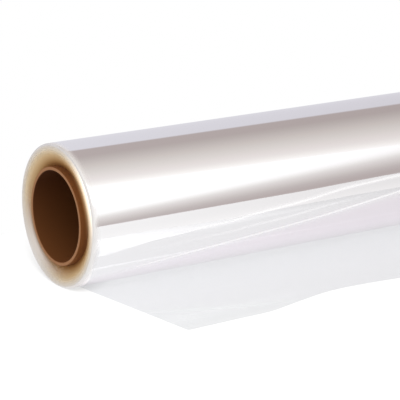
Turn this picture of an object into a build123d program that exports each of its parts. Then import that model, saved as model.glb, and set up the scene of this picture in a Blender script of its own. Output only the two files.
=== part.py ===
from build123d import *
from math import sqrt
import os

# A roll of clear film on a paperboard core, lying on its side with its tail drawn out in front.
# Lengths are millimetres. X runs along the roll, the tail lies towards -Y, and Z is up.
# The origin is on the core's axis, half way along the roll.

# Core: a spiral-wound paperboard tube with the usual three-inch bore
core_bore_r = 38.1
core_wall = 3.0
core_proud = 1.0
core_end_ease = 0.4

# Film: the wound turns
film_width = 500.0
wound_depth = 19.0
film_gauge = 0.3
edge_round = 1.8
flat_spot_width = 12.0

# Turns slip sideways in bands as they are wound, so a band that is sunk at one end of the roll
# stands out by as much at the other. Each band ends at a share of the wound depth, counted from
# the core, and is shifted along X by a share of the largest slip.
band_slip = 0.5
band_end_shares = (0.08, 0.19, 0.27, 0.41, 0.49, 0.63, 0.74, 0.81, 0.91)
band_shift_shares = (0.7, -0.3, 0.5, -0.7, 0.2, 1.0, -0.4, 0.3, -0.9)

# Tail: the end of the last turn, drawn out from under the roll and cut by hand. Its edge on the
# left starts inside the roll's end and slants away from it, and its edge on the right is square.
tail_reach = 152.7
tail_inset = 12.5
tail_slant = 16.0

# The hand-cut edge, from the left corner to the right one: shares of the cut's length along X
# and of the tail's reach
cut_edge_shares = (
    (0.00, 1.000),
    (0.10, 0.990),
    (0.17, 0.984),
    (0.24, 0.932),
    (0.32, 0.880),
    (0.39, 0.880),
    (0.50, 0.912),
    (0.66, 0.932),
    (0.83, 0.905),
    (1.00, 0.880),
)

# One overrun for every cut
overrun = 5.0

# Sizes that follow from the ones above
core_r = core_bore_r + core_wall
core_length = film_width + 2 * core_proud
film_r = core_r + wound_depth
left_end = -film_width / 2
right_end = film_width / 2

# The outline of the last turn is a scroll of four quarter arcs. Each is larger than the one
# before by a quarter of the film's gauge, and their centres lie on a small square round the axis.
scroll_step = film_gauge / 4
first_arc_r = film_r - 1.5 * scroll_step
lowest_turn = film_r + 2 * scroll_step

# The roll's weight presses a narrow flat into its underside
flat_depth = film_r - sqrt(film_r**2 - (flat_spot_width / 2) ** 2)
floor_z = flat_depth - lowest_turn


def make_core():
    """The paperboard tube, with its cut ends eased."""
    outside = Cylinder(core_r, core_length, rotation=(0, 90, 0))
    bore = Cylinder(core_bore_r, core_length + 2 * overrun, rotation=(0, 90, 0))
    tube = outside - bore
    rims = tube.edges().filter_by(GeomType.CIRCLE)
    return chamfer(rims, core_end_ease)


def wound_bands():
    """The inner turns: one turned ring with the stepped ends that slipped bands give it."""
    radii = [core_r] + [core_r + wound_depth * share for share in band_end_shares]
    left_points = []
    right_points = []
    for inner, outer, share in zip(radii, radii[1:], band_shift_shares):
        shift = band_slip * share
        left_points += [(left_end + shift, inner), (left_end + shift, outer)]
        right_points += [(right_end + shift, inner), (right_end + shift, outer)]
    outline = Polyline(*left_points, *reversed(right_points), close=True)
    section = Plane.XY * make_face(outline)
    return revolve(section, Axis.X)


def last_turns():
    """The outermost turns: their outline is a scroll that ends one gauge lower than it began."""
    half = scroll_step / 2
    centres = [(-half, half), (half, half), (half, -half), (-half, -half)]
    arcs = []
    for quarter, centre in enumerate(centres):
        radius = first_arc_r + quarter * scroll_step
        start = 270 - 90 * quarter
        arcs.append(CenterArc(centre, radius, start, -90))
    step = Line(arcs[-1] @ 1, arcs[0] @ 0)
    inner_r = core_r + wound_depth * band_end_shares[-1]
    outline = make_face([*arcs, step]) - Circle(inner_r)
    return extrude(Plane.YZ.offset(left_end) * outline, film_width)


def tail_sheet():
    """The free tail: a flat sheet with a slanting edge, a hand-cut edge and a square one."""
    root_y = flat_spot_width / 4
    root_left = left_end + tail_inset
    corner_x = root_left + tail_slant
    cut_length = right_end - corner_x
    cut_points = [(corner_x + cut_length * along, -tail_reach * out) for along, out in cut_edge_shares]
    sides = Polyline(cut_points[0], (root_left, root_y), (right_end, root_y), cut_points[-1])
    cut = Spline(*cut_points)
    return extrude(Plane.XY.offset(floor_z) * make_face([sides, cut]), film_gauge)


def rim_cutter(end_x, outwards):
    """A ring that rounds the outer edge of the turns at one end."""
    face_r = lowest_turn - edge_round
    round_start_x = end_x - outwards * edge_round
    first_angle = 90 - outwards * 90
    rounding = CenterArc((round_start_x, face_r), edge_round, first_angle, outwards * 90)
    outside = Polyline(
        rounding @ 0,
        (end_x + outwards * overrun, face_r),
        (end_x + outwards * overrun, lowest_turn + overrun),
        (round_start_x, lowest_turn + overrun),
        rounding @ 1,
    )
    return revolve(make_face([rounding, outside]), Axis.X)


def make_film():
    """The turns and the tail, one piece, flattened where the roll stands on the floor."""
    turns = last_turns()
    for end_x, outwards in ((left_end, -1), (right_end, 1)):
        turns -= rim_cutter(end_x, outwards)
    roll = turns + wound_bands() + tail_sheet()
    below = Box(
        film_width + 2 * overrun,
        2 * film_r,
        overrun,
        align=(Align.CENTER, Align.CENTER, Align.MAX),
    )
    return roll - Pos(0, 0, floor_z) * below


parts = {
    "core": make_core(),
    "film": make_film(),
}

os.makedirs("parts", exist_ok=True)
for name, part in parts.items():
    export_step(part, f"parts/{name}.step")
    box = part.bounding_box()
    print(name, "solids", len(part.solids()), "volume", round(part.volume), "size", box.size)
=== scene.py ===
# %% [markdown]
# # A roll of cellophane on a paperboard core
# The roll lies on its side on a white table, and its tail is drawn out flat in front. Two things make
# it look like clear film. Hundreds of clear turns lying on each other throw light back like silver, so
# the side of the roll shows the studio round it in long soft bands. Looked at from the end, the same
# turns are nearly clear, so the brown core shows through them, and the amber glow round it is painted
# light.

# %% Load the frame
import math

import bmesh
import bpy
from mathutils import Matrix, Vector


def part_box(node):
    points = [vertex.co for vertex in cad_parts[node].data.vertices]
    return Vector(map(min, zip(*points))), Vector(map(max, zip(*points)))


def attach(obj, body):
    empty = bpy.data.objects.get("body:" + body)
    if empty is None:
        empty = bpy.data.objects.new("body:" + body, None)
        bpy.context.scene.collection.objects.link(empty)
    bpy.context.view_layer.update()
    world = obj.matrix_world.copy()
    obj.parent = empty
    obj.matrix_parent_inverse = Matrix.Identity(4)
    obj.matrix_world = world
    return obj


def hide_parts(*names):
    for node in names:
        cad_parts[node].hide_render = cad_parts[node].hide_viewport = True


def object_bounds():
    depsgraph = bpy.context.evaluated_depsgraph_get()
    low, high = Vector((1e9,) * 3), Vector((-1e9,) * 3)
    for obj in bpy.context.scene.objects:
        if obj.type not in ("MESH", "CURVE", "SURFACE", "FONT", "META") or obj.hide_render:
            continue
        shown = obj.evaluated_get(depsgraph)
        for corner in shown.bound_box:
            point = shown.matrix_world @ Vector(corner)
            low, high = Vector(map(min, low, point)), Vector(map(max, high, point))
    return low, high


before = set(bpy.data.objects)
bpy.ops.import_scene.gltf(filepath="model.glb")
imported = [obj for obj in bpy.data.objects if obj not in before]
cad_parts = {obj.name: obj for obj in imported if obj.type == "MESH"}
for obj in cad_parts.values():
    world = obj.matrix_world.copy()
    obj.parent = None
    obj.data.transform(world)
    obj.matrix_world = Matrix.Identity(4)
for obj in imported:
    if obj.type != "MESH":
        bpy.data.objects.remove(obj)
cad_low, cad_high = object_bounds()
core_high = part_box("core")[1]
print("CAD box", list(cad_low), list(cad_high))

# %% [markdown]
# ## Working sizes
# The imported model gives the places, and everything else is written in millimetres, as a maker
# would say it. The roll's axis is the X axis, the tail lies towards -Y, and Z is up.

# %% Sizes of the roll
MM = 0.001
bore_radius = 38.1 * MM
core_radius = core_high[2]
wound_depth = 19.0 * MM
film_radius = core_radius + wound_depth
floor_level = cad_low[2]
film_width = 500 * MM
left_end = -film_width / 2
right_end = film_width / 2
gauge = 0.3 * MM
edge_round = 1.8 * MM
face_radius = film_radius - edge_round
print("film radius", film_radius, "core radius", core_radius, "floor", floor_level)

# %% [markdown]
# ## Small helpers
# Colours are picked as the sRGB hex values that an eye or a paint chart gives, and the renderer
# works in linear light, so one function turns one into the other. The next one adds a node: it
# sets the node's own settings, and fills its inputs or links them. A node that is given as an
# input stands for its first output. The others give a colour ramp its stops, start a material
# with an empty tree, and put a new object in the scene.


# %% Helpers
def linear(code):
    """The linear colour of an sRGB hex code, with an alpha of one."""
    shares = [int(code[at : at + 2], 16) / 255 for at in (0, 2, 4)]
    flat = [s / 12.92 if s <= 0.04045 else ((s + 0.055) / 1.055) ** 2.4 for s in shares]
    return (*flat, 1.0)


def add(tree, kind, inputs=None, **settings):
    """Adds a node with its settings, and fills or links the inputs that are named."""
    made = tree.nodes.new(kind)
    for name, value in settings.items():
        setattr(made, name, value)
    for name, value in (inputs or {}).items():
        if isinstance(value, bpy.types.Node):
            value = next(socket for socket in value.outputs if socket.enabled)
        if isinstance(value, bpy.types.NodeSocket):
            tree.links.new(value, made.inputs[name])
        else:
            made.inputs[name].default_value = value
    return made


def fill_stops(ramp, stops):
    """Gives a colour ramp its stops: each is a place from 0 to 1 and a linear colour."""
    elements = ramp.color_ramp.elements
    for at, (place, colour) in enumerate(stops):
        if at > 1:
            elements.new(place)
        elements[at].position = place
        elements[at].color = colour


def new_finish(name):
    """A new material with an empty node tree, and that tree."""
    material = bpy.data.materials.new(name)
    material.use_nodes = True
    material.node_tree.nodes.clear()
    return material, material.node_tree


def placed(name, data):
    """A new object in the scene, made from a mesh, a lamp or a camera."""
    made = bpy.data.objects.new(name, data)
    bpy.context.scene.collection.objects.link(made)
    return made


print("mid grey in linear light", linear("808080"))

# %% [markdown]
# ## Camera
# A long lens looks at the roll from its left end and a little above, as in a shop photograph.
# The place and the angles were worked out from the ellipse of the bore, the ellipse of the
# film's end, the top edge of the roll and the line where it meets the table.

# %% Camera
camera_place = (-969.9 * MM, -1295.1 * MM, 409.65 * MM)
camera_heading = math.radians(33.600)
camera_dip = math.radians(15.003)
focal_length_px = 1880.2
picture_width_px = 400

lens = bpy.data.cameras.new("shop_camera")
lens.sensor_width = 36.0
lens.lens = lens.sensor_width * focal_length_px / picture_width_px
lens.clip_start = 50 * MM
camera = placed("shop_camera", lens)
turn = Matrix.Rotation(-camera_heading, 4, "Z")
tip = Matrix.Rotation(math.pi / 2 - camera_dip, 4, "X")
camera.matrix_world = Matrix.Translation(camera_place) @ turn @ tip
bpy.context.scene.camera = camera
bpy.context.scene.view_settings.view_transform = "Standard"
print("lens", lens.lens, "mm")

# %% [markdown]
# ## The studio
# A glossy roll is a picture of the room it stands in, so the room is drawn with care. In front
# and to the left there is one large soft light. It falls off towards the right and the ceiling in
# a long warm grey, and more quickly towards the horizon. Its middle is brighter still, which only
# shows where it is mirrored twice, in the tail and then in the roll. A pale wall stands behind the
# table, and beyond the table's front edge the room is dark. All of it is one sky, painted by
# direction, because that lights the whole length of the roll evenly. The film mirrors this room,
# and past the table's edges the camera sees plain white.

# %% How the light falls off
# Each fall of the light: the direction it is measured from, as an azimuth from the front and a
# height, then degrees away from there and the light that comes from that far. Most of these
# colours are readings of the roll in the photograph, rounded: scratch scripts turned them into
# directions with the camera above and averaged them by angle. The rest were chosen by trial
light_falls = (
    (
        (-28, 0),
        (
            (71, (4.00, 4.00, 4.00)),
            (74, (2.20, 2.20, 2.20)),
            (76, (1.20, 1.20, 1.20)),
            (77.5, (1.10, 1.08, 1.06)),
            (80, (1.01, 0.98, 0.95)),
            (83, (0.92, 0.88, 0.86)),
            (86, (0.88, 0.83, 0.81)),
            (92, (0.80, 0.76, 0.73)),
            (98, (0.73, 0.69, 0.66)),
            (104, (0.67, 0.62, 0.59)),
            (110, (0.60, 0.55, 0.53)),
            (116, (0.54, 0.49, 0.47)),
            (122, (0.50, 0.44, 0.43)),
        ),
    ),
    (
        (-60, 40),
        (
            (75, (4.00, 4.00, 4.00)),
            (78, (2.20, 2.20, 2.20)),
            (80, (1.30, 1.30, 1.30)),
            (84, (1.14, 1.14, 1.14)),
            (85.5, (1.01, 1.00, 0.98)),
            (87, (0.87, 0.85, 0.83)),
            (88.5, (0.80, 0.76, 0.75)),
            (91, (0.69, 0.65, 0.63)),
            (93.5, (0.60, 0.55, 0.54)),
            (97, (0.54, 0.48, 0.47)),
        ),
    ),
    (
        (42, 38),
        (
            (14, (4.00, 4.00, 4.00)),
            (22, (1.16, 1.16, 1.16)),
            (60, (1.05, 1.05, 1.05)),
            (90, (1.00, 1.00, 1.00)),
        ),
    ),
)
wall_colour = linear("e1e0e7")
# The wall's top edge is level in the room, which is a plane of directions: the way to the wall,
# times the height of its edge over its distance. Both numbers were worked out by a scratch script
# from where the reflection of that edge lies in the photograph
wall_azimuth = 151
wall_steepness = 0.894
wall_edge_softness = 0.03
print("falls of light", len(light_falls))


# %% Room seen in the film
def towards(azimuth, height):
    """The direction at an azimuth from the front, towards the right, and a height in degrees."""
    turn, rise = math.radians(azimuth), math.radians(height)
    return (math.sin(turn) * math.cos(rise), -math.cos(turn) * math.cos(rise), math.sin(rise))


room = bpy.data.worlds.new("studio_room")
bpy.context.scene.world = room
room.use_nodes = True
sky = room.node_tree
sky.nodes.clear()
way = add(sky, "ShaderNodeTexCoord").outputs["Generated"]
# The falls are laid over each other, and in each direction the darkest one counts
front_room = (4.0, 4.0, 4.0, 1.0)
for middle, stops in light_falls:
    nearness = add(sky, "ShaderNodeVectorMath", {0: way, 1: towards(*middle)}, operation="DOT_PRODUCT")
    angle_off = add(sky, "ShaderNodeMath", {0: nearness}, operation="ARCCOSINE")
    share_off = add(sky, "ShaderNodeMath", {0: angle_off, 1: math.pi}, operation="DIVIDE")
    fall = add(sky, "ShaderNodeValToRGB", {"Fac": share_off})
    fill_stops(fall, [(degrees / 180, (*colour, 1.0)) for degrees, colour in stops])
    front_room = add(
        sky,
        "ShaderNodeMix",
        {"Factor": 1.0, "A": front_room, "B": fall},
        data_type="RGBA",
        blend_type="DARKEN",
    )
wall_foot = towards(wall_azimuth, 0)
wall_plane = (wall_foot[0] * wall_steepness, wall_foot[1] * wall_steepness, -1.0)
below_top = add(sky, "ShaderNodeVectorMath", {0: way, 1: wall_plane}, operation="DOT_PRODUCT")
wall = add(
    sky,
    "ShaderNodeMapRange",
    {"Value": below_top, "From Min": -wall_edge_softness, "From Max": wall_edge_softness},
)
room_colour = add(
    sky, "ShaderNodeMix", {"Factor": wall, "A": front_room, "B": wall_colour}, data_type="RGBA"
)
shown_room = add(sky, "ShaderNodeBackground", {"Color": room_colour})
white_room = add(sky, "ShaderNodeBackground", {"Color": (1, 1, 1, 1)})
rays = add(sky, "ShaderNodeLightPath").outputs
seen = add(
    sky,
    "ShaderNodeMath",
    {0: rays["Is Camera Ray"], 1: rays["Is Transmission Ray"]},
    operation="MAXIMUM",
)
chosen = add(sky, "ShaderNodeMixShader", {0: seen, 1: shown_room, 2: white_room})
add(sky, "ShaderNodeOutputWorld", {"Surface": chosen})
print("room nodes", len(sky.nodes))

# %% [markdown]
# ## Table and lamps
# The table is a matt white sheet. It ends about 30 cm in front of the tail, and that edge draws
# the sharp lower edge of the dark band along the roll. It is shown a little brighter than it is
# lit, so that it runs out to plain white and still keeps the roll's shadow. The key lamp shapes
# the core. A second lamp is linked to the table alone. It stands in front on the left, so most of
# the roll's shadow falls behind it. Gloss doesn't see the lamps, because the room above already
# stands for them there.

# %% Table
# The front edge from left to right: it runs askew in front of the roll's right half. Its two
# middle corners follow points that a scratch script worked out from the edge's reflection in the
# photograph
table_front = ((-5000, -440), (235, -440), (520, -615), (5000, -615))
table_back = 160
# Most of the table's white is its own glow, and the grey under it is what takes a shadow
table_grey = linear("595959")
table_glow = 0.57
table_lift = 0.13

table_white, paint = new_finish("matt_white_table")
matt = add(paint, "ShaderNodeBsdfDiffuse", {"Color": table_grey})
paint_rays = add(paint, "ShaderNodeLightPath").outputs
looked_at = add(
    paint,
    "ShaderNodeMath",
    {0: paint_rays["Is Camera Ray"], 1: paint_rays["Is Transmission Ray"]},
    operation="MAXIMUM",
)
lift = add(
    paint,
    "ShaderNodeMapRange",
    {"Value": looked_at, "To Min": table_glow, "To Max": table_glow + table_lift},
)
glow = add(paint, "ShaderNodeEmission", {"Color": (1, 1, 1, 1), "Strength": lift})
lit_table = add(paint, "ShaderNodeAddShader", {0: matt, 1: glow})
add(paint, "ShaderNodeOutputMaterial", {"Surface": lit_table})

outline = [*table_front, (table_front[-1][0], table_back), (table_front[0][0], table_back)]
corners = [(x * MM, y * MM, floor_level) for x, y in outline]
table_mesh = bpy.data.meshes.new("table")
table_mesh.from_pydata(corners, [], [range(len(corners))])
table_mesh.materials.append(table_white)
table = placed("table", table_mesh)
print("table corners", len(corners))

# %% Lamps
table_only = bpy.data.collections.new("table_only")
table_only.objects.link(table)
lamps = {}
# Each lamp: its place in millimetres, its width and its power in watts. It faces the origin
for lamp_name, place, size, watts in (
    ("key_lamp", (1100, -900, 1900), 1600 * MM, 18.0),
    ("table_lamp", (-1350, -1550, 1450), 800 * MM, 265.0),
):
    lamp_data = bpy.data.lights.new(lamp_name, "AREA")
    lamp_data.shape = "DISK"
    lamp_data.size = size
    lamp_data.energy = watts
    lamp = placed(lamp_name, lamp_data)
    lamp.location = [length * MM for length in place]
    lamp.rotation_mode = "QUATERNION"
    lamp.rotation_quaternion = lamp.location.to_track_quat("Z", "Y")
    lamp.visible_glossy = False
    lamps[lamp_name] = lamp
lamps["table_lamp"].light_linking.receiver_collection = table_only
print("lamps", list(lamps))

# %% [markdown]
# ## Core: brown paperboard
# The core is wound from strips of brown board on a slant and glued. Board is matt and a little fibrous.
# The cut end is paler than the faces, because the knife leaves fresh fibre, and its plies show as fine
# rings. The bore also carries painted shade: it is painted darker, and darkest towards its top, where
# little light gets in. One material does all of this, because the distance from the axis tells the
# bore, the cut end and the outside apart.

# %% Paperboard
# How deep the colours of the bore and the outside go into the board, and down to what share of
# that depth the outside's colour is full
skin_depth = 0.5 * MM
skin_full_share = 0.2

board, ply = new_finish("spiral_wound_paperboard")
board_place = add(ply, "ShaderNodeTexCoord").outputs["Object"]
board_axes = add(ply, "ShaderNodeSeparateXYZ", {0: board_place}).outputs
board_across = add(ply, "ShaderNodeVectorMath", {0: board_place, 1: (0, 1, 1)}, operation="MULTIPLY")
board_radius = add(ply, "ShaderNodeVectorMath", {0: board_across}, operation="LENGTH").outputs["Value"]
inside = add(
    ply,
    "ShaderNodeMapRange",
    {"Value": board_radius, "From Min": bore_radius + skin_depth, "From Max": bore_radius},
)
outside = add(
    ply,
    "ShaderNodeMapRange",
    {
        "Value": board_radius,
        "From Min": core_radius - skin_depth,
        "From Max": core_radius - skin_full_share * skin_depth,
    },
)
print("wall of the core", core_radius - bore_radius)

# %% Colours and fibre of the paperboard
ply_pitch = 0.75 * MM
ply_strength = 0.15
fibres_per_mm = 0.9
fibre_relief = 0.2 * MM
cut_brown = linear("8e6342")
cut_fibre = linear("ac7d58")
# The bore's two browns are painted shade: darker towards its top, where little light gets in
bore_bottom = linear("7e4c26")
bore_top_painted_shade = linear("48240b")
outside_brown = linear("794b27")
# How far up the bore the darkest painted shade begins, as a share of its radius
darkest_shade_share = 0.6

# Rings of plies on the cut end, and a fine fibre over everything
ply_turns = 2 * math.pi / ply_pitch
ply_rings = add(ply, "ShaderNodeMath", {0: board_radius, 1: ply_turns}, operation="MULTIPLY")
ring_wave = add(ply, "ShaderNodeMath", {0: ply_rings}, operation="SINE")
fibre = add(
    ply, "ShaderNodeTexNoise", {"Vector": board_place, "Scale": fibres_per_mm / MM, "Detail": 3.0}
)
fibre_and_rings = add(
    ply, "ShaderNodeMath", {0: ring_wave, 1: ply_strength, 2: fibre}, operation="MULTIPLY_ADD"
)
cut_end = add(
    ply, "ShaderNodeMix", {"Factor": fibre_and_rings, "A": cut_brown, "B": cut_fibre}, data_type="RGBA"
)
# Painted shade in the bore: its colour goes darker from the bottom up
bore_shade_mask = add(
    ply,
    "ShaderNodeMapRange",
    {
        "Value": board_axes["Z"],
        "From Min": -bore_radius,
        "From Max": darkest_shade_share * bore_radius,
    },
)
bore_with_painted_shade = add(
    ply, "ShaderNodeMix", {"Factor": bore_shade_mask, "A": bore_bottom, "B": bore_top_painted_shade}, data_type="RGBA"
)
with_bore = add(
    ply, "ShaderNodeMix", {"Factor": inside, "A": cut_end, "B": bore_with_painted_shade}, data_type="RGBA"
)
board_colour = add(
    ply, "ShaderNodeMix", {"Factor": outside, "A": with_bore, "B": outside_brown}, data_type="RGBA"
)
rough_fibre = add(ply, "ShaderNodeBump", {"Height": fibre, "Strength": 0.3, "Distance": fibre_relief})
# Bare board is rough, so it scatters the light and has hardly any highlight
board_skin = add(
    ply,
    "ShaderNodeBsdfPrincipled",
    {"Base Color": board_colour, "Roughness": 0.75, "Specular IOR Level": 0.15, "Normal": rough_fibre},
)
add(ply, "ShaderNodeOutputMaterial", {"Surface": board_skin})
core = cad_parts["core"]
core.data.materials.clear()
core.data.materials.append(board)
print("core board, bore radius", bore_radius)

# %% [markdown]
# ## Film finishes
# The side of the roll is cast film, wound tight. Each turn is clear and polished, and together they act
# like a soft mirror, so it is a metal-like finish with a very low roughness. Its colour is painted a
# little darker towards the right, as painted shade along the roll. Real film also lets much of the
# light through, so the finish does that for shadows and for light that has bounced off something matt,
# which keeps the table under the roll pale. The low part of the roll has a painted glow: an emission
# that stands for light coming up from the table through the turns, white at first and lavender below
# the lower crease. The film turns satin near its rims. Along each crease a thin white line is a painted
# highlight, matt white with a glow of its own, and the mesh carries a mark that says where.

# %% Wound film side: mirror
wound_side, side = new_finish("wound_clear_film")
side_place = add(side, "ShaderNodeTexCoord").outputs["Object"]
side_axes = add(side, "ShaderNodeSeparateXYZ", {0: side_place}).outputs
to_right = add(
    side, "ShaderNodeMapRange", {"Value": side_axes["X"], "From Min": left_end, "From Max": right_end}
)
# The mirror's colour is painted darker towards the right, as painted shade along the roll
silver_painted_darker_right = add(
    side,
    "ShaderNodeMix",
    {"Factor": to_right, "A": linear("f5f4f5"), "B": linear("e8e5e6")},
    data_type="RGBA",
)
side_mirror = add(
    side, "ShaderNodeBsdfPrincipled", {"Base Color": silver_painted_darker_right, "Metallic": 1.0, "Roughness": 0.05}
)
print("mirror nodes", len(side.nodes))

# %% Wound film side: painted glow of the low part
underside_painted_glow_strength = 0.23
# Heights over the axis at which the glow starts and is full, and how it fades near the table
glow_start = 2 * MM
glow_full = -18 * MM
table_fade = 22 * MM
glow_at_table_share = 0.3
# The share of the glow at each end of the roll
glow_left_share = 0.68
glow_right_share = 0.72
# The lower crease climbs by a tenth of the way along the roll, and the lavender climbs with it
crease_climb = 0.1
lavender_start = -14 * MM
lavender_full = -27 * MM

below_axis = add(
    side,
    "ShaderNodeMapRange",
    {"Value": side_axes["Z"], "From Min": glow_start, "From Max": glow_full, "To Max": underside_painted_glow_strength},
    interpolation_type="SMOOTHSTEP",
)
off_table = add(
    side,
    "ShaderNodeMapRange",
    {
        "Value": side_axes["Z"],
        "From Min": floor_level,
        "From Max": floor_level + table_fade,
        "To Min": glow_at_table_share,
    },
    interpolation_type="SMOOTHSTEP",
)
along_glow = add(
    side,
    "ShaderNodeMapRange",
    {"Value": to_right, "To Min": glow_left_share, "To Max": glow_right_share},
)
low_both = add(side, "ShaderNodeMath", {0: below_axis, 1: off_table}, operation="MULTIPLY")
low_down = add(side, "ShaderNodeMath", {0: low_both, 1: along_glow}, operation="MULTIPLY")
over_crease = add(
    side,
    "ShaderNodeMath",
    {0: side_axes["X"], 1: -crease_climb, 2: side_axes["Z"]},
    operation="MULTIPLY_ADD",
)
lavender_glow_share = add(
    side,
    "ShaderNodeMapRange",
    {"Value": over_crease, "From Min": lavender_start, "From Max": lavender_full},
    interpolation_type="SMOOTHSTEP",
)
painted_glow_colour = add(
    side,
    "ShaderNodeMix",
    {"Factor": lavender_glow_share, "A": linear("faf8f8"), "B": linear("fbe0f6")},
    data_type="RGBA",
)
# The painted glow: an emission on the low part of the roll
low_part_painted_glow = add(side, "ShaderNodeEmission", {"Color": painted_glow_colour, "Strength": low_down})
side_film = add(side, "ShaderNodeAddShader", {0: side_mirror, 1: low_part_painted_glow})
print("glow of the underside", underside_painted_glow_strength)

# %% Wound film side: rims, creases and light that passes
rim_reach = 7.0 * MM
rim_satin = 0.70
crease_highlight_glow = 0.25
film_pass = 0.95

from_middle = add(side, "ShaderNodeMath", {0: side_axes["X"]}, operation="ABSOLUTE")
near_rim = add(
    side,
    "ShaderNodeMapRange",
    {
        "Value": from_middle,
        "From Min": right_end - rim_reach,
        "From Max": right_end,
        "To Max": rim_satin,
    },
    interpolation_type="SMOOTHSTEP",
)
rim_film = add(side, "ShaderNodeBsdfPrincipled", {"Base Color": linear("d8d4d0"), "Roughness": 0.4})
side_to_rim = add(side, "ShaderNodeMixShader", {0: near_rim, 1: side_film, 2: rim_film})

# Along each crease the mesh's mark paints a highlight: matt white with a glow of its own
crease_mark = add(side, "ShaderNodeAttribute", attribute_name="crease").outputs["Fac"]
crease_highlight_white = add(side, "ShaderNodeBsdfDiffuse", {"Color": linear("fafafa")})
crease_highlight_emission = add(side, "ShaderNodeEmission", {"Color": (1, 1, 1, 1), "Strength": crease_highlight_glow})
crease_painted_highlight = add(side, "ShaderNodeAddShader", {0: crease_highlight_white, 1: crease_highlight_emission})
side_creased = add(side, "ShaderNodeMixShader", {0: crease_mark, 1: side_to_rim, 2: crease_painted_highlight})

side_clear = add(side, "ShaderNodeBsdfTransparent", {"Color": (1, 1, 1, 1)})
side_rays = add(side, "ShaderNodeLightPath").outputs
soft_ray = add(
    side,
    "ShaderNodeMath",
    {0: side_rays["Is Shadow Ray"], 1: side_rays["Is Diffuse Ray"]},
    operation="MAXIMUM",
)
side_pass = add(side, "ShaderNodeMath", {0: soft_ray, 1: film_pass}, operation="MULTIPLY")
side_mix = add(side, "ShaderNodeMixShader", {0: side_pass, 1: side_creased, 2: side_clear})
add(side, "ShaderNodeOutputMaterial", {"Surface": side_mix})
print("light passed by the film", film_pass)

# %% [markdown]
# The end of the roll is clear, so it is made of two surfaces. One is the face itself, with the fine
# edges of the turns. Under it lies a hollow that deepens towards the core. Its colours are painted
# light: the light that got between the turns coming back, amber near the brown core and pale near the
# rim. Looked at on a slant, the hollow also lets the dark side of the core show through the clear film.

# %% Hollow behind the film's end
# The painted light of the hollow from the core out to the rim, matched by comparing the render with the
# photograph
deep_painted_light_stops = (
    (0.0, "8a5c34"),
    (0.12, "9e7346"),
    (0.25, "b48e60"),
    (0.50, "d0b48b"),
    (0.72, "e6d5b6"),
    (1.0, "ebe6e0"),
)


def share_of_depth(tree):
    """The place across the axis, and how far out it is: 0 at the core and 1 at the rim."""
    place = add(tree, "ShaderNodeTexCoord").outputs["Object"]
    across_axis = add(tree, "ShaderNodeVectorMath", {0: place, 1: (0, 1, 1)}, operation="MULTIPLY")
    distance = add(tree, "ShaderNodeVectorMath", {0: across_axis}, operation="LENGTH").outputs["Value"]
    out = add(
        tree,
        "ShaderNodeMapRange",
        {"Value": distance, "From Min": core_radius, "From Max": film_radius},
    )
    return across_axis, out


def colours_by_share(tree, share, stops):
    """A colour ramp over the share of the depth."""
    ramp = add(tree, "ShaderNodeValToRGB", {"Fac": share})
    fill_stops(ramp, [(where, linear(code)) for where, code in stops])
    return ramp


# The hollow is matt, and its colour is painted light that comes back evenly from between the turns
hollow_painted_light, deep = new_finish("light_inside_film_end")
deep_share = share_of_depth(deep)[1]
deep_painted_light = colours_by_share(deep, deep_share, deep_painted_light_stops)
deep_skin = add(deep, "ShaderNodeBsdfDiffuse", {"Color": deep_painted_light})
add(deep, "ShaderNodeOutputMaterial", {"Surface": deep_skin})
print("hollow colours", len(deep_painted_light_stops))

# %% Face of the film's end
# The skin of the face: amber further in, which is painted light from the brown core, and a neutral pale
# grey at the rim, matched likewise
skin_stops = ((0.30, "b88650"), (0.52, "dcc298"), (0.75, "e8e1d6"), (1.0, "e8e5e2"))
# The haze of the turn edges, which starts some way out and is full near the rim
haze_from_share = 0.40
haze_full_share = 0.95
haze_at_core = 0.0
haze_at_rim = 0.62
# Patches of painted light, where the room would shine through the turns: the way there in degrees up
# from the level on the tail's side, how narrow the patch is, how strong, and from what share of the
# depth to what share. The first is a painted glow, the second a paler patch painted into the haze and
# colour of the skin
rim_painted_glow = (28, 9.0, 0.75, 0.22, 0.70)
pale_painted_light_patch = (222, 2.0, 0.85, -0.15, 0.35)
painted_light_patch_colour = linear("eae4df")


def patch_towards(tree, outwards, share, patch):
    """A soft patch of painted light on the face: strongest in one direction, and fading in with the
    depth.
    """
    degrees, narrowness, strength, fade_from, fade_to = patch
    lit_way = (0, -math.cos(math.radians(degrees)), math.sin(math.radians(degrees)))
    facing = add(tree, "ShaderNodeVectorMath", {0: outwards, 1: lit_way}, operation="DOT_PRODUCT")
    turned_to = add(tree, "ShaderNodeMath", {0: facing, 1: 0.0}, operation="MAXIMUM")
    narrow = add(tree, "ShaderNodeMath", {0: turned_to, 1: narrowness}, operation="POWER")
    fade = add(
        tree,
        "ShaderNodeMapRange",
        {"Value": share, "From Min": fade_from, "From Max": fade_to, "To Max": strength},
        interpolation_type="SMOOTHSTEP",
    )
    return add(tree, "ShaderNodeMath", {0: narrow, 1: fade}, operation="MULTIPLY")


# The face is a satin skin where the turn edges are hazy, and clear elsewhere
turn_edges, face = new_finish("clear_film_turn_edges")
face_across, face_share = share_of_depth(face)
outwards = add(face, "ShaderNodeVectorMath", {0: face_across}, operation="NORMALIZE")
haze_by_depth = add(
    face,
    "ShaderNodeMapRange",
    {
        "Value": face_share,
        "From Min": haze_from_share,
        "From Max": haze_full_share,
        "To Min": haze_at_core,
        "To Max": haze_at_rim,
    },
    interpolation_type="SMOOTHSTEP",
)
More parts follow.
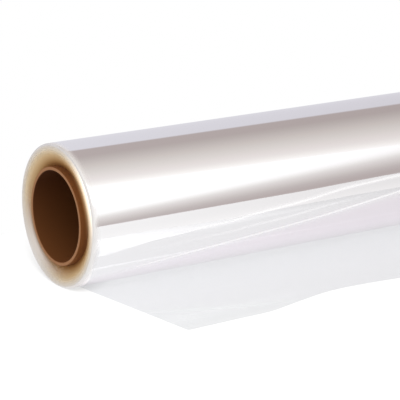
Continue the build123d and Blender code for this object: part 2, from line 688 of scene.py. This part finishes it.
# A paler patch painted into the skin, as painted light from the room
painted_light_patch_share = patch_towards(face, outwards, face_share, pale_painted_light_patch)
haze = add(face, "ShaderNodeMath", {0: haze_by_depth, 1: painted_light_patch_share}, operation="MAXIMUM")
skin_by_depth = colours_by_share(face, face_share, skin_stops)
skin_colour = add(
    face,
    "ShaderNodeMix",
    {"Factor": painted_light_patch_share, "A": skin_by_depth, "B": painted_light_patch_colour},
    data_type="RGBA",
)
face_skin = add(face, "ShaderNodeBsdfPrincipled", {"Base Color": skin_colour, "Roughness": 0.35})
face_clear = add(face, "ShaderNodeBsdfTransparent", {"Color": (1, 1, 1, 1)})
face_film = add(face, "ShaderNodeMixShader", {0: haze, 1: face_clear, 2: face_skin})
# A painted glow on the face: an emission, strongest towards the tail's side
painted_shine_strength = patch_towards(face, outwards, face_share, rim_painted_glow)
painted_shine = add(face, "ShaderNodeEmission", {"Color": skin_by_depth, "Strength": painted_shine_strength})
face_lit = add(face, "ShaderNodeAddShader", {0: face_film, 1: painted_shine})
add(face, "ShaderNodeOutputMaterial", {"Surface": face_lit})
print("face colours", len(skin_stops), "face nodes", len(face.nodes))

# %% [markdown]
# ## Wound film, made by Geometry Nodes
# The body of the roll follows a rule, so nodes make it. First the whole skin is laid out flat, as
# bands of a grid: along X as on the roll, with the turn from 0 to 1 along Y and the radius as the
# height. Then one step bends that map round the axis. The radius grows by one gauge in a turn, as
# a wound sheet does.
#
# Pulling the tail askew has drawn slanting creases into the last turns. Above each crease the film
# bulges a little more towards it, and below it drops back at once. Along the drop a thin white line is
# painted on as a highlight. The rows of the map follow these lines, so that they stay crisp.

# %% Creases in the last turns
# Each crease: its angle up from the underside in degrees, how white it is, and how many degrees
# its bulge reaches up, all at shares of the width. The lines' points were read by hand in the
# photograph, as far as it shows them, and a scratch script turned them into angles with the camera
# above. They are rounded, and some were adjusted
# The white of each crease is a painted highlight along its line
creases = {
    "lower": {
        "line": (
            (0.0, 36), (0.05, 43.8), (0.09, 47.8), (0.14, 51.5), (0.20, 55.1), (0.26, 58.4),
            (0.33, 62.0), (0.44, 67.6), (0.55, 74.4), (0.62, 78.7), (0.80, 87), (1.0, 94),
        ),
        "white": (
            (0.04, 0.0), (0.08, 0.15), (0.15, 0.42), (0.26, 0.44), (0.36, 0.42), (0.60, 0.42),
            (0.80, 0.30), (1.0, 0.0),
        ),
        "bulge": ((0.0, 0.0), (0.10, 0.0), (0.25, 0.4), (1.0, 0.4)),
    },
    "middle": {
        "line": (
            (0.0, 55), (0.12, 65.6), (0.22, 68.8), (0.27, 69.9), (0.31, 72.0), (0.37, 73.4),
            (0.42, 75.8), (0.47, 78.2), (0.52, 79.8), (0.70, 88), (1.0, 99),
        ),
        "white": ((0.08, 0.0), (0.20, 0.12), (0.40, 0.22), (0.52, 0.1), (0.62, 0.0)),
        "bulge": ((0.0, 0.0), (1.0, 0.0)),
    },
    "upper": {
        "line": (
            (0.0, 68.8), (0.03, 69.8), (0.07, 72.5), (0.11, 74.6), (0.16, 76.0), (0.21, 78.2),
            (0.26, 79.5), (0.31, 82.0), (0.36, 83.8), (0.42, 86.1), (0.50, 90.3), (0.56, 91.9),
            (0.62, 93.3), (0.80, 98), (1.0, 104),
        ),
        "white": ((0.10, 0.0), (0.22, 0.22), (0.34, 0.36), (0.62, 0.34), (0.80, 0.34), (0.95, 0.1)),
        "bulge": (
            (0.0, 0.0), (0.006, 0.0), (0.03, 12.5), (0.07, 10.0), (0.10, 7.0), (0.14, 3.0),
            (0.18, 0.8), (1.0, 0.5),
        ),
    },
}
# How steeply a bulge leans at its crease, and how far the drop and the painted highlight line reach
crease_lean = 0.085
crease_drop = 1.2 * MM
crease_line = 1.9 * MM
print("creases", list(creases))


# %% Sizes that the film's tree takes
def new_maker(name, sizes, finishes):
    """A Geometry Nodes tree with an input for each size and finish, and what they give."""
    tree = bpy.data.node_groups.new(name, "GeometryNodeTree")
    tree.is_modifier = True
    for size_name, size in sizes.items():
        socket = tree.interface.new_socket(size_name, in_out="INPUT", socket_type="NodeSocketFloat")
        socket.default_value = size
    for finish_name in finishes:
        tree.interface.new_socket(finish_name, in_out="INPUT", socket_type="NodeSocketMaterial")
    tree.interface.new_socket("Geometry", in_out="OUTPUT", socket_type="NodeSocketGeometry")
    return tree, add(tree, "NodeGroupInput").outputs


hollow_depth = 6.0 * MM
body_sizes = {
    "Left End": left_end,
    "Right End": right_end,
    "Outer Radius": film_radius,
    "Core Radius": core_radius,
    "Gauge": gauge,
    "Edge Round": edge_round,
    "End Depth": hollow_depth,
    "Crease Lean": crease_lean,
    "Crease Drop": crease_drop,
    "Crease Line": crease_line,
    "Lowest": floor_level + gauge,
}
body_tree, given = new_maker("wound_film", body_sizes, ("Side Finish", "End Finish"))
print("sizes", list(body_sizes))

# %% Flat map of the skin
row_count = 250
flat = add(body_tree, "ShaderNodeSeparateXYZ", {0: add(body_tree, "GeometryNodeInputPosition")}).outputs
along = add(body_tree, "ShaderNodeMath", {0: flat["X"], 1: 0.5}, operation="ADD")
around = add(body_tree, "ShaderNodeMath", {0: flat["Y"], 1: 0.5}, operation="ADD")
quarter = add(body_tree, "ShaderNodeMath", {0: along, 1: math.pi / 2}, operation="MULTIPLY")
bulge = add(body_tree, "ShaderNodeMath", {0: quarter}, operation="SINE")
quarter_cosine = add(body_tree, "ShaderNodeMath", {0: quarter}, operation="COSINE")
lag = add(body_tree, "ShaderNodeMath", {0: 1.0, 1: quarter_cosine}, operation="SUBTRACT")
outer, inner, round_size = given["Outer Radius"], given["Core Radius"], given["Edge Round"]
left_x, right_x, end_depth = given["Left End"], given["Right End"], given["End Depth"]
face_edge = add(body_tree, "ShaderNodeMath", {0: outer, 1: round_size}, operation="SUBTRACT")
left_rim = add(body_tree, "ShaderNodeMath", {0: left_x, 1: round_size}, operation="ADD")
right_rim = add(body_tree, "ShaderNodeMath", {0: right_x, 1: round_size}, operation="SUBTRACT")
left_deep = add(body_tree, "ShaderNodeMath", {0: left_x, 1: end_depth}, operation="ADD")
right_deep = add(body_tree, "ShaderNodeMath", {0: right_x, 1: end_depth}, operation="SUBTRACT")
# Each band: its columns, X from and to, how X goes, radius from and to, how the radius goes
body_bands = (
    (10, left_deep, left_x, along, inner, face_edge, along),
    (8, left_x, left_rim, lag, face_edge, outer, bulge),
    (200, left_rim, right_rim, along, outer, outer, along),
    (8, right_rim, right_x, bulge, outer, face_edge, lag),
    (10, right_x, right_deep, along, face_edge, inner, along),
    (20, right_deep, left_deep, along, inner, inner, along),
)
joined = add(body_tree, "GeometryNodeJoinGeometry")
for columns, from_x, to_x, x_way, from_radius, to_radius, radius_way in body_bands:
    cells = {"Size X": 1.0, "Size Y": 1.0, "Vertices X": columns + 1, "Vertices Y": row_count + 1}
    band = add(body_tree, "GeometryNodeMeshGrid", cells)
    band_x = add(body_tree, "ShaderNodeMapRange", {"Value": x_way, "To Min": from_x, "To Max": to_x})
    radii = {"Value": radius_way, "To Min": from_radius, "To Max": to_radius}
    band_radius = add(body_tree, "ShaderNodeMapRange", radii)
    band_place = add(body_tree, "ShaderNodeCombineXYZ", {"X": band_x, "Y": around, "Z": band_radius})
    laid = add(body_tree, "GeometryNodeSetPosition", {"Geometry": band, "Position": band_place})
    body_tree.links.new(laid.outputs[0], joined.inputs[0])
print("bands", len(body_bands))

# %% Rows that follow the creases
# Shares of the rows at which each line lies: the underside, both sides of each crease, a full turn
row_shares = (0.0, 0.08, 0.14, 0.22, 0.28, 0.36, 0.42, 0.995)
# A curve node holds values from 0 to 1, so angles are shares of half a turn, and bulges are shares
# of the widest bulge in degrees
widest_bulge = 30
curve_full = {"line": 180, "white": 1, "bulge": widest_bulge}

width_share = add(
    body_tree, "ShaderNodeMapRange", {"Value": flat["X"], "From Min": left_x, "From Max": right_x}
)
drop_angle = add(body_tree, "ShaderNodeMath", {0: given["Crease Drop"], 1: outer}, operation="DIVIDE")
row_lines = [0.0]
crease_lines = []
for crease_name, tables in creases.items():
    curves = {}
    for what, points in tables.items():
        curve = add(body_tree, "ShaderNodeFloatCurve", {"Value": width_share})
        curve.label = f"{crease_name} {what}"
        path = curve.mapping.curves[0]
        while len(path.points) < len(points):
            path.points.new(0.5, 0.5)
        for point, (at, value) in zip(path.points, points):
            point.location = (at, value / curve_full[what])
        curve.mapping.update()
        curves[what] = curve
    line_angle = add(body_tree, "ShaderNodeMath", {0: curves["line"], 1: math.pi}, operation="MULTIPLY")
    bulge_angle = add(
        body_tree,
        "ShaderNodeMath",
        {0: curves["bulge"], 1: math.radians(widest_bulge)},
        operation="MULTIPLY",
    )
    for side_way in ("SUBTRACT", "ADD"):
        edge = add(body_tree, "ShaderNodeMath", {0: line_angle, 1: drop_angle}, operation=side_way)
        row_lines.append(edge)
    crease_lines.append((line_angle, curves["white"], bulge_angle))
row_lines.append(2 * math.pi)
turned = 0.0
for share, next_share, start, stop in zip(row_shares, row_shares[1:], row_lines, row_lines[1:]):
    gap = add(body_tree, "ShaderNodeMath", {0: stop, 1: start}, operation="SUBTRACT")
    step = add(
        body_tree,
        "ShaderNodeMapRange",
        {"Value": flat["Y"], "From Min": share, "From Max": next_share, "To Max": gap},
    )
    turned = add(body_tree, "ShaderNodeMath", {0: turned, 1: step}, operation="ADD")
print("row lines", len(row_lines))

# %% Bulges and painted highlight lines
on_side = add(
    body_tree, "ShaderNodeMapRange", {"Value": flat["Z"], "From Min": face_edge, "From Max": outer}
)
drop_start = add(body_tree, "ShaderNodeMath", {0: given["Crease Drop"], 1: -1.0}, operation="MULTIPLY")
half_lean = add(body_tree, "ShaderNodeMath", {0: given["Crease Lean"], 1: 0.5}, operation="MULTIPLY")
bulges = 0.0
highlight_marks = 0.0
for line_angle, white, bulge_angle in crease_lines:
    apart = add(body_tree, "ShaderNodeMath", {0: turned, 1: line_angle}, operation="SUBTRACT")
    arc = add(body_tree, "ShaderNodeMath", {0: apart, 1: outer}, operation="MULTIPLY")
    reach = add(body_tree, "ShaderNodeMath", {0: bulge_angle, 1: outer}, operation="MULTIPLY")
    # From 1 at the crease to 0 at the bulge's upper end, and squared, so that it starts level
    fade = add(body_tree, "ShaderNodeMapRange", {"Value": arc, "From Min": reach, "From Max": 0.0})
    swell = add(body_tree, "ShaderNodeMath", {0: fade, 1: 2.0}, operation="POWER")
    drop = add(
        body_tree,
        "ShaderNodeMapRange",
        {"Value": arc, "From Min": drop_start, "From Max": 0.0},
        interpolation_type="SMOOTHSTEP",
    )
    height = add(body_tree, "ShaderNodeMath", {0: reach, 1: half_lean}, operation="MULTIPLY")
    shape = add(body_tree, "ShaderNodeMath", {0: swell, 1: drop}, operation="MULTIPLY")
    bulge_here = add(body_tree, "ShaderNodeMath", {0: shape, 1: height}, operation="MULTIPLY")
    bulges = add(body_tree, "ShaderNodeMath", {0: bulges, 1: bulge_here}, operation="ADD")
    off = add(body_tree, "ShaderNodeMath", {0: arc}, operation="ABSOLUTE")
    line_mark = add(
        body_tree,
        "ShaderNodeMapRange",
        {"Value": off, "From Min": given["Crease Line"], "From Max": 0.0},
        interpolation_type="SMOOTHSTEP",
    )
    # The painted highlight along each crease line
    highlight_mark = add(body_tree, "ShaderNodeMath", {0: line_mark, 1: white}, operation="MULTIPLY")
    highlight_marks = add(body_tree, "ShaderNodeMath", {0: highlight_marks, 1: highlight_mark}, operation="ADD")
relief = add(body_tree, "ShaderNodeMath", {0: bulges, 1: on_side}, operation="MULTIPLY")
highlight_share = add(body_tree, "ShaderNodeMath", {0: highlight_marks, 1: on_side}, operation="MULTIPLY")
print("bulges from", len(creases), "creases")

# %% Bend round the axis
# The radius grows by one gauge in a turn, half of it before the middle of the turn. The last turn
# ends on the underside, where the radius steps back by one gauge
turn_share = add(body_tree, "ShaderNodeMath", {0: turned, 1: 2 * math.pi}, operation="DIVIDE")
step_back = add(
    body_tree,
    "ShaderNodeMapRange",
    {"Value": flat["Y"], "From Min": row_shares[-1], "To Min": -0.5, "To Max": -1.5},
)
centred_share = add(body_tree, "ShaderNodeMath", {0: turn_share, 1: step_back}, operation="ADD")
growth = add(body_tree, "ShaderNodeMath", {0: centred_share, 1: given["Gauge"]}, operation="MULTIPLY")
grown = add(body_tree, "ShaderNodeMath", {0: flat["Z"], 1: growth}, operation="ADD")
radius = add(body_tree, "ShaderNodeMath", {0: grown, 1: relief}, operation="ADD")
inward = add(body_tree, "ShaderNodeMath", {0: radius, 1: -1.0}, operation="MULTIPLY")
sine = add(body_tree, "ShaderNodeMath", {0: turned}, operation="SINE")
cosine = add(body_tree, "ShaderNodeMath", {0: turned}, operation="COSINE")
bent_y = add(body_tree, "ShaderNodeMath", {0: inward, 1: sine}, operation="MULTIPLY")
bent_z = add(body_tree, "ShaderNodeMath", {0: inward, 1: cosine}, operation="MULTIPLY")
z_on_tail = add(body_tree, "ShaderNodeMath", {0: bent_z, 1: given["Lowest"]}, operation="MAXIMUM")
bent_place = add(body_tree, "ShaderNodeCombineXYZ", {"X": flat["X"], "Y": bent_y, "Z": z_on_tail})
marked = add(
    body_tree,
    "GeometryNodeStoreNamedAttribute",
    {"Geometry": joined, "Name": "crease", "Value": highlight_share},
)
bent = add(body_tree, "GeometryNodeSetPosition", {"Geometry": marked, "Position": bent_place})
print("crease mark", marked.inputs["Name"].default_value)

# %% Closed skin and its finishes
# Points that lie closer than this are one point, which closes the seams
weld_distance = 0.005 * MM


def closed_skin(tree, geometry):
    """The skin with its seams closed, shaded smooth and made real."""
    closed = add(tree, "GeometryNodeMergeByDistance", {"Geometry": geometry, "Distance": weld_distance})
    smooth = add(tree, "GeometryNodeSetShadeSmooth", {"Geometry": closed})
    return add(tree, "GeometryNodeRealizeInstances", {"Geometry": smooth})


real = closed_skin(body_tree, bent)
place_now = add(body_tree, "GeometryNodeInputPosition")
across = add(body_tree, "ShaderNodeVectorMath", {0: place_now, 1: (0, 1, 1)}, operation="MULTIPLY")
radius_now = add(body_tree, "ShaderNodeVectorMath", {0: across}, operation="LENGTH").outputs["Value"]
in_end = add(body_tree, "ShaderNodeMath", {0: radius_now, 1: face_edge}, operation="LESS_THAN")
side_dressed = add(
    body_tree, "GeometryNodeSetMaterial", {"Geometry": real, "Material": given["Side Finish"]}
)
dressed = add(
    body_tree,
    "GeometryNodeSetMaterial",
    {"Geometry": side_dressed, "Selection": in_end, "Material": given["End Finish"]},
)
add(body_tree, "NodeGroupOutput", {"Geometry": dressed})
print("film nodes", len(body_tree.nodes))

# %% [markdown]
# A tree only shows its result on an object, so a carrier object takes the tree as a modifier,
# with its inputs set by each socket's own identifier. The result is then copied out as a plain
# mesh that starts clean, and the carrier goes.


# %% From nodes to a plain mesh
def made_by_nodes(name, tree, values):
    """A plain mesh object that a node tree makes, with its inputs set by their names."""
    carrier = placed(name + "_carrier", bpy.data.meshes.new(name + "_carrier"))
    maker = carrier.modifiers.new("maker", "NODES")
    maker.node_group = tree
    for item in tree.interface.items_tree:
        if item.in_out == "INPUT" and item.name in values:
            maker[item.identifier] = values[item.name]
    evaluated = carrier.evaluated_get(bpy.context.evaluated_depsgraph_get())
    mesh = bpy.data.meshes.new_from_object(evaluated)
    mesh.name = name
    bpy.data.objects.remove(carrier)
    work = bmesh.new()
    work.from_mesh(mesh)
    bmesh.ops.recalc_face_normals(work, faces=work.faces)
    work.to_mesh(mesh)
    work.free()
    mesh.set_sharp_from_angle(angle=math.radians(30))
    piece = placed(name, mesh)
    print(name, len(mesh.vertices), "points", [found and found.name for found in mesh.materials])
    return piece


film_body = made_by_nodes("film_turns", body_tree, {"Side Finish": wound_side, "End Finish": hollow_painted_light})

# %% [markdown]
# ## Turn edges on each end
# Turns slip sideways in bands as the film is wound, so the end of the roll is stepped. A thin
# clear ring made of the turns' edges closes each end. It is one node tree, used twice: the bands
# sunk at one end stand out by as much at the other.

# %% Turn edges: their sizes
# The slip is small, because only fine rings show on the real one
band_slip = 0.15 * MM
band_end_shares = (0.08, 0.19, 0.27, 0.41, 0.49, 0.63, 0.74, 0.81, 0.91)
band_shift_shares = (0.7, -0.3, 0.5, -0.7, 0.2, 1.0, -0.4, 0.3, -0.9, 0.0)
band_soft_share = 0.006
ring_columns = 60
ring_rows = 144

ring_sizes = {
    "End": left_end,
    "Inner Radius": core_radius,
    "Outer Radius": face_radius,
    "Slip": band_slip,
}
ring_tree, ring_given = new_maker("turn_edges", ring_sizes, ("Edges",))
print("slipped bands", len(band_shift_shares))

# %% Turn edges: slipped bands round the axis
ring_spot = add(ring_tree, "ShaderNodeSeparateXYZ", {0: add(ring_tree, "GeometryNodeInputPosition")})
out_share = add(ring_tree, "ShaderNodeMath", {0: ring_spot.outputs["X"], 1: 0.5}, operation="ADD")
ring_turned = add(
    ring_tree, "ShaderNodeMath", {0: ring_spot.outputs["Y"], 1: 2 * math.pi}, operation="MULTIPLY"
)
ring_sine = add(ring_tree, "ShaderNodeMath", {0: ring_turned}, operation="SINE")
ring_cosine = add(ring_tree, "ShaderNodeMath", {0: ring_turned}, operation="COSINE")
ring_radius = add(
    ring_tree,
    "ShaderNodeMapRange",
    {"Value": out_share, "To Min": ring_given["Inner Radius"], "To Max": ring_given["Outer Radius"]},
)
slip_share = band_shift_shares[0]
for ends_at, before, after in zip(band_end_shares, band_shift_shares, band_shift_shares[1:]):
    limits = {"From Min": ends_at - band_soft_share, "From Max": ends_at + band_soft_share}
    step = {"Value": out_share, "To Max": after - before, **limits}
    slip_step = add(ring_tree, "ShaderNodeMapRange", step)
    slip_share = add(ring_tree, "ShaderNodeMath", {0: slip_share, 1: slip_step}, operation="ADD")
slipped = add(ring_tree, "ShaderNodeMath", {0: slip_share, 1: ring_given["Slip"]}, operation="MULTIPLY")
ring_x = add(ring_tree, "ShaderNodeMath", {0: ring_given["End"], 1: slipped}, operation="ADD")
ring_y = add(ring_tree, "ShaderNodeMath", {0: ring_radius, 1: ring_sine}, operation="MULTIPLY")
ring_z = add(ring_tree, "ShaderNodeMath", {0: ring_radius, 1: ring_cosine}, operation="MULTIPLY")
ring_grid = add(
    ring_tree,
    "GeometryNodeMeshGrid",
    {"Size X": 1.0, "Size Y": 1.0, "Vertices X": ring_columns + 1, "Vertices Y": ring_rows + 1},
)
ring_place = add(ring_tree, "ShaderNodeCombineXYZ", {"X": ring_x, "Y": ring_y, "Z": ring_z})
ring_bent = add(ring_tree, "GeometryNodeSetPosition", {"Geometry": ring_grid, "Position": ring_place})
ring_real = closed_skin(ring_tree, ring_bent)
ring_dressed = add(
    ring_tree, "GeometryNodeSetMaterial", {"Geometry": ring_real, "Material": ring_given["Edges"]}
)
add(ring_tree, "NodeGroupOutput", {"Geometry": ring_dressed})

left_face = made_by_nodes("film_face_left", ring_tree, {"End": left_end, "Edges": turn_edges})
right_face = made_by_nodes("film_face_right", ring_tree, {"End": right_end, "Edges": turn_edges})

# %% [markdown]
# ## Tail
# The tail is one clear sheet that lies flat on the table. You see it by what it does to the table
# under it: it takes a little light away, and at a low angle it mirrors the pale wall behind the
# roll. It is cut by hand, so its front edge wanders. A grid of points is laid out between the
# roll and that edge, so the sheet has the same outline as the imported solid.

# %% Outline of the tail
tail_reach = 152.7 * MM
tail_inset = 12.5 * MM
tail_slant = 16.0 * MM
tail_root = 3.0 * MM
cut_edge_shares = (
    (0.00, 1.000),
    (0.10, 0.990),
    (0.17, 0.984),
    (0.24, 0.932),
    (0.32, 0.880),
    (0.39, 0.880),
    (0.50, 0.912),
    (0.66, 0.932),
    (0.83, 0.905),
    (1.00, 0.880),
)


def cut_reach(share):
    """How far out the cut edge is at a share of its length: a smooth curve through the shares."""
    last = len(cut_edge_shares) - 1
    at = max(i for i in range(last) if cut_edge_shares[i][0] <= share or i == 0)
    before, start, end, after = (cut_edge_shares[min(max(at + i, 0), last)] for i in (-1, 0, 1, 2))
    span = end[0] - start[0]
    way = (share - start[0]) / span
    slope_in = (end[1] - before[1]) / (end[0] - before[0]) * span
    slope_out = (after[1] - start[1]) / (after[0] - start[0]) * span
    square, cube = way**2, way**3
    level = start[1] * (2 * cube - 3 * square + 1) + end[1] * (3 * square - 2 * cube)
    return level + slope_in * (cube - 2 * square + way) + slope_out * (cube - square)


print("right corner of the tail", -tail_reach * cut_reach(1.0))

# %% Mesh of the tail
tail_columns = 200
tail_rows = 60
tail_points = []
for column in range(tail_columns + 1):
    share = column / tail_columns
    reach = tail_reach * cut_reach(share)
    for row in range(tail_rows + 1):
        out = row / tail_rows
        y = tail_root - (tail_root + reach) * out
        left = left_end + tail_inset + tail_slant * (tail_root - y) / (tail_root + tail_reach)
        x = left + (right_end - left) * share
        tail_points.append((x, y, floor_level + gauge))
tail_faces = []
for column in range(tail_columns):
    for row in range(tail_rows):
        corner = column * (tail_rows + 1) + row
        beside = corner + tail_rows + 1
        tail_faces.append((corner, corner + 1, beside + 1, beside))
tail_mesh = bpy.data.meshes.new("film_tail")
tail_mesh.from_pydata(tail_points, [], tail_faces)
print("tail", len(tail_points), "points")

# %% Finish of the tail
# Clear film is polished on both sides, so it has a sharp mirror image at a low angle. Its tint is
# painted a little darker towards its front, as painted shade on the table under it
painted_shade_start = -40 * MM
clear_film, sheet = new_finish("clear_film_sheet")
# A thin sheet mirrors as much from below as from above, so the index is turned over on its back
film_index = 1.55
sheet_back = add(sheet, "ShaderNodeNewGeometry").outputs["Backfacing"]
index_now = add(
    sheet,
    "ShaderNodeMapRange",
    {"Value": sheet_back, "To Min": film_index, "To Max": 1 / film_index},
)
film_fresnel = add(sheet, "ShaderNodeFresnel", {"IOR": index_now})
sheet_place = add(sheet, "ShaderNodeTexCoord").outputs["Object"]
sheet_axes = add(sheet, "ShaderNodeSeparateXYZ", {0: sheet_place}).outputs
to_front = add(
    sheet,
    "ShaderNodeMapRange",
    {"Value": sheet_axes["Y"], "From Min": painted_shade_start, "From Max": -tail_reach},
)
sheet_tint_with_painted_shade = add(
    sheet,
    "ShaderNodeMix",
    {"Factor": to_front, "A": linear("f1f2f4"), "B": linear("e9eaeb")},
    data_type="RGBA",
)
film_clear = add(sheet, "ShaderNodeBsdfTransparent", {"Color": sheet_tint_with_painted_shade})
film_gloss = add(sheet, "ShaderNodeBsdfGlossy", {"Color": (1, 1, 1, 1), "Roughness": 0.04})
film_mix = add(sheet, "ShaderNodeMixShader", {0: film_fresnel, 1: film_clear, 2: film_gloss})
add(sheet, "ShaderNodeOutputMaterial", {"Surface": film_mix})
print("index of the film", film_index)

# %% Tail, laid on the table
tail_mesh.materials.append(clear_film)
film_tail = placed("film_tail", tail_mesh)
if tail_mesh.polygons[0].normal.z < 0:
    tail_mesh.flip_normals()

# %% [markdown]
# ## Pieces on the body
# Each piece rides on the one body and stands for the film of the imported model, which is hidden.

# %% Pieces on the one body
for piece in (film_body, left_face, right_face, film_tail):
    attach(piece, "root")
    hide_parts("film")
